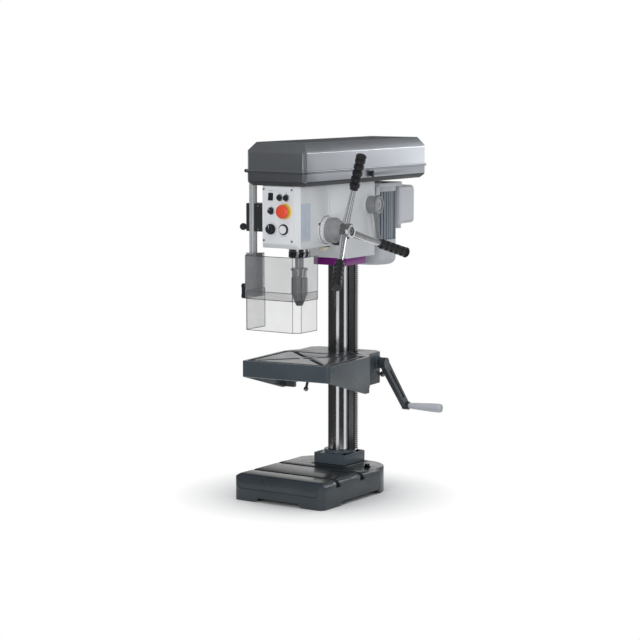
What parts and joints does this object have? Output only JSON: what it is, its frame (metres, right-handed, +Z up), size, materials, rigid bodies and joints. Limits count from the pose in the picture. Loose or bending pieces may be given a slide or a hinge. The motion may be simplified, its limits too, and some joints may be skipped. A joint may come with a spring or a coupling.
{
  "type": "benchtop drill press",
  "caption": "Benchtop drill press: cast base, column, crank-raised slotted table, quill feed with three handles, keyless chuck, clear guard and hinged belt cover.",
  "frame": {"origin": "centre of the base's hold-down holes on the bench", "axes": "+Z up along the column, -Y to the front of the machine, +X to the feed handles"},
  "size_m": [0.462, 0.7108, 1.0833],
  "materials": {
    "cast_slate": "satin slate paint with machined top faces",
    "black_steel": "black oxide",
    "ground_steel": "ground and polished",
    "rack_steel": "milled",
    "purple_paint": "gloss purple paint",
    "gear_steel": "oiled machined steel",
    "grey_paint": "satin dark grey paint",
    "light_handle": "smooth light grey",
    "head_paint": "off-white paint over a casting",
    "panel_sheet": "printed light sheet",
    "control_black": "fine moulded black",
    "stop_red": "glossy red",
    "stop_yellow": "yellow",
    "button_white": "white",
    "lamp_glass": "milky lens",
    "bright_steel": "turned bright steel",
    "chuck_steel": "dark burnished steel",
    "rubber_grip": "ribbed black rubber",
    "scale_ring": "satin ring with a graduated edge",
    "guard_paint": "smooth anthracite paint",
    "pulley_alloy": "turned alloy",
    "belt_rubber": "matt black",
    "motor_alloy": "blue-grey finned alloy",
    "motor_shell": "light grey paint",
    "box_plastic": "light grey moulding",
    "post_alloy": "grooved drawn alloy",
    "holder_plastic": "grey moulding",
    "clear_sheet": "clear moulded sheet"
  },
  "bodies": {
    "frame": {"base": "cast_slate", "frame_screws": "black_steel", "column_flange": "cast_slate", "column": "ground_steel", "clamp_collar": "purple_paint", "head_casting": "head_paint", "control_panel": "panel_sheet", "panel_screws": "bright_steel", "emergency_collar": "stop_yellow", "start_bezel": "control_black", "work_lamp": "lamp_glass", "spring_case": "control_black", "belt_pan": "guard_paint", "hinge_pins": "black_steel", "drive_belt": "belt_rubber", "guard_switch": "control_black"},
    "rack": {"table_rack": "rack_steel"},
    "table": {"table": "cast_slate"},
    "table_gear": {"table_gear": "gear_steel"},
    "crank": {"table_worm": "gear_steel", "crank_arm": "grey_paint"},
    "crank_grip": {"crank_grip": "light_handle"},
    "table_clamp": {"table_clamp": "bright_steel"},
    "quill": {"quill": "ground_steel", "quill_collar": "black_steel", "quill_bearings": "bright_steel"},
    "feed": {"pinion_shaft": "gear_steel", "feed_hub": "bright_steel", "feed_spokes": "bright_steel", "feed_grips": "rubber_grip"},
    "depth_ring": {"depth_ring": "scale_ring"},
    "quill_lock": {"quill_lock": "control_black"},
    "spindle": {"spindle": "bright_steel", "chuck_body": "bright_steel"},
    "chuck_sleeve": {"chuck_sleeve": "chuck_steel"},
    "chuck_jaw_a": {"chuck_jaw_a": "gear_steel"},
    "chuck_jaw_b": {"chuck_jaw_b": "gear_steel"},
    "chuck_jaw_c": {"chuck_jaw_c": "gear_steel"},
    "spindle_pulley": {"spindle_pulley": "pulley_alloy"},
    "motor_pulley": {"motor_pulley": "pulley_alloy"},
    "motor": {"motor_plate": "motor_shell", "motor_core": "motor_alloy", "motor_shroud": "motor_shell", "terminal_box": "box_plastic"},
    "tension_lever": {"tension_lever": "bright_steel"},
    "lid": {"belt_lid": "guard_paint"},
    "lid_latch": {"lid_latch": "control_black"},
    "guard_post": {"guard_post": "post_alloy"},
    "guard_upper": {"guard_holder": "holder_plastic", "upper_shield": "clear_sheet"},
    "guard_lower": {"lower_shield": "clear_sheet"},
    "wing_knob": {"wing_knob": "control_black"},
    "post_knob": {"post_knob": "control_black"},
    "emergency_button": {"emergency_button": "stop_red"},
    "lamp_button_a": {"lamp_button_a": "control_black"},
    "lamp_button_b": {"lamp_button_b": "control_black"},
    "start_button": {"start_button": "button_white"},
    "rocker_switch": {"rocker_switch": "control_black"},
    "selector_knob": {"selector_knob": "control_black"},
    "speed_knob": {"speed_knob": "control_black"}
  },
  "joints": [
    {"name": "table_swing", "type": "hinge", "parent": "frame", "child": "rack", "pos_m": [0, 0.135, 0.4], "axis": [0, 0, 1], "range_deg": [-150, 150]},
    {"name": "table_lift", "type": "slide", "parent": "rack", "child": "table", "axis": [0, 0, 1], "range_m": [-0.175, 0.085]},
    {"name": "table_gear_turn", "type": "hinge", "parent": "table", "child": "table_gear", "pos_m": [0.07225, 0.14107, 0.375], "axis": [-0.0837, 0.9965, 0], "range_deg": [-350, 740]},
    {"name": "crank_turn", "type": "hinge", "parent": "table", "child": "crank", "pos_m": [0.16392, 0.16081, 0.3986], "axis": [0.9965, 0.0837, 0], "range_deg": [-2580, 1220]},
    {"name": "crank_grip_spin", "type": "hinge", "parent": "crank", "child": "crank_grip", "pos_m": [0.18887, 0.27592, 0.25183], "axis": [0.9965, 0.0837, 0], "continuous": true},
    {"name": "table_clamp_turn", "type": "hinge", "parent": "table", "child": "table_clamp", "pos_m": [-0.12559, 0.17262, 0.358], "axis": [0.9965, 0.0837, 0], "range_deg": [-30, 60]},
    {"name": "quill_feed", "type": "slide", "parent": "frame", "child": "quill", "axis": [0, 0, -1], "range_m": [0, 0.08], "stiffness_N_per_m": 450, "springref_m": -0.15},
    {"name": "feed_turn", "type": "hinge", "parent": "frame", "child": "feed", "pos_m": [0, -0.044, 0.819], "axis": [1, 0, 0], "range_deg": [0, 310]},
    {"name": "depth_ring_turn", "type": "hinge", "parent": "frame", "child": "depth_ring", "pos_m": [0.077, -0.044, 0.819], "axis": [1, 0, 0], "range_deg": [-170, 170]},
    {"name": "quill_lock_turn", "type": "hinge", "parent": "frame", "child": "quill_lock", "pos_m": [0.072, -0.018, 0.778], "axis": [1, 0, 0], "range_deg": [0, 120]},
    {"name": "spindle_spin", "type": "hinge", "parent": "quill", "child": "spindle", "pos_m": [0, -0.088, 0.8], "axis": [0, 0, 1], "continuous": true},
    {"name": "chuck_sleeve_turn", "type": "hinge", "parent": "spindle", "child": "chuck_sleeve", "pos_m": [0, -0.088, 0.65], "axis": [0, 0, 1], "range_deg": [0, 720]},
    {"name": "chuck_jaw_a_slide", "type": "slide", "parent": "spindle", "child": "chuck_jaw_a", "axis": [0.1801, 0.104, 0.9781], "range_m": [0, 0.0082]},
    {"name": "chuck_jaw_b_slide", "type": "slide", "parent": "spindle", "child": "chuck_jaw_b", "axis": [-0.1801, 0.104, 0.9781], "range_m": [0, 0.0082]},
    {"name": "chuck_jaw_c_slide", "type": "slide", "parent": "spindle", "child": "chuck_jaw_c", "axis": [0, -0.2079, 0.9781], "range_m": [0, 0.0082]},
    {"name": "pulley_spin", "type": "hinge", "parent": "frame", "child": "spindle_pulley", "pos_m": [0, -0.088, 0.98], "axis": [0, 0, 1], "continuous": true},
    {"name": "motor_slide", "type": "slide", "parent": "frame", "child": "motor", "axis": [0, -1, 0], "range_m": [0, 0.012]},
    {"name": "motor_spin", "type": "hinge", "parent": "motor", "child": "motor_pulley", "pos_m": [0, 0.325, 0.98], "axis": [0, 0, 1], "continuous": true},
    {"name": "tension_turn", "type": "hinge", "parent": "frame", "child": "tension_lever", "pos_m": [0.075, 0.187, 0.883], "axis": [-1, 0, 0], "range_deg": [0, 46]},
    {"name": "lid_open", "type": "hinge", "parent": "frame", "child": "lid", "pos_m": [-0.11225, 0.13, 0.998], "axis": [0, -1, 0], "range_deg": [0, 85]},
    {"name": "latch_turn", "type": "hinge", "parent": "frame", "child": "lid_latch", "pos_m": [0.10675, 0.142, 0.981], "axis": [1, 0, 0], "range_deg": [0, 90]},
    {"name": "guard_swing", "type": "hinge", "parent": "frame", "child": "guard_post", "pos_m": [-0.133, -0.139, 0.8], "axis": [0, 0, 1], "range_deg": [-110, 0]},
    {"name": "guard_height", "type": "slide", "parent": "guard_post", "child": "guard_upper", "axis": [0, 0, 1], "range_m": [-0.05, 0.05]},
    {"name": "guard_lower_slide", "type": "slide", "parent": "guard_upper", "child": "guard_lower", "axis": [0, 0, 1], "range_m": [0, 0.085]},
    {"name": "wing_knob_turn", "type": "hinge", "parent": "guard_upper", "child": "wing_knob", "pos_m": [-0.155, -0.139, 0.63], "axis": [1, 0, 0], "continuous": true},
    {"name": "post_knob_turn", "type": "hinge", "parent": "frame", "child": "post_knob", "pos_m": [-0.165, -0.139, 0.825], "axis": [1, 0, 0], "continuous": true},
    {"name": "emergency_push", "type": "slide", "parent": "frame", "child": "emergency_button", "axis": [0, 1, 0], "range_m": [0, 0.005], "stiffness_N_per_m": 1500},
    {"name": "lamp_push_a", "type": "slide", "parent": "frame", "child": "lamp_button_a", "axis": [0, 1, 0], "range_m": [0, 0.003], "stiffness_N_per_m": 1000},
    {"name": "lamp_push_b", "type": "slide", "parent": "frame", "child": "lamp_button_b", "axis": [0, 1, 0], "range_m": [0, 0.003], "stiffness_N_per_m": 1000},
    {"name": "start_push", "type": "slide", "parent": "frame", "child": "start_button", "axis": [0, 1, 0], "range_m": [0, 0.002], "stiffness_N_per_m": 1000},
    {"name": "rocker_tilt", "type": "hinge", "parent": "frame", "child": "rocker_switch", "pos_m": [-0.03, -0.1935, 0.923], "axis": [1, 0, 0], "range_deg": [0, 14]},
    {"name": "selector_turn", "type": "hinge", "parent": "frame", "child": "selector_knob", "pos_m": [-0.028, -0.195, 0.881], "axis": [0, 1, 0], "range_deg": [-45, 45]},
    {"name": "speed_turn", "type": "hinge", "parent": "frame", "child": "speed_knob", "pos_m": [-0.028, -0.195, 0.827], "axis": [0, 1, 0], "range_deg": [-140, 140]}
  ],
  "couplings": [
    {"joint": "table_gear_turn", "follows": "table_lift", "rad_per_m": -71.429},
    {"joint": "crank_turn", "follows": "table_lift", "rad_per_m": 250},
    {"joint": "feed_turn", "follows": "quill_feed", "rad_per_m": 66.667},
    {"joint": "spindle_spin", "follows": "pulley_spin", "ratio": 1},
    {"joint": "motor_spin", "follows": "pulley_spin", "ratio": 1.75},
    {"joint": "tension_turn", "follows": "motor_slide", "rad_per_m": 65},
    {"joint": "chuck_jaw_a_slide", "follows": "chuck_sleeve_turn", "m_per_rad": 0.00063662},
    {"joint": "chuck_jaw_b_slide", "follows": "chuck_sleeve_turn", "m_per_rad": 0.00063662},
    {"joint": "chuck_jaw_c_slide", "follows": "chuck_sleeve_turn", "m_per_rad": 0.00063662}
  ]
}
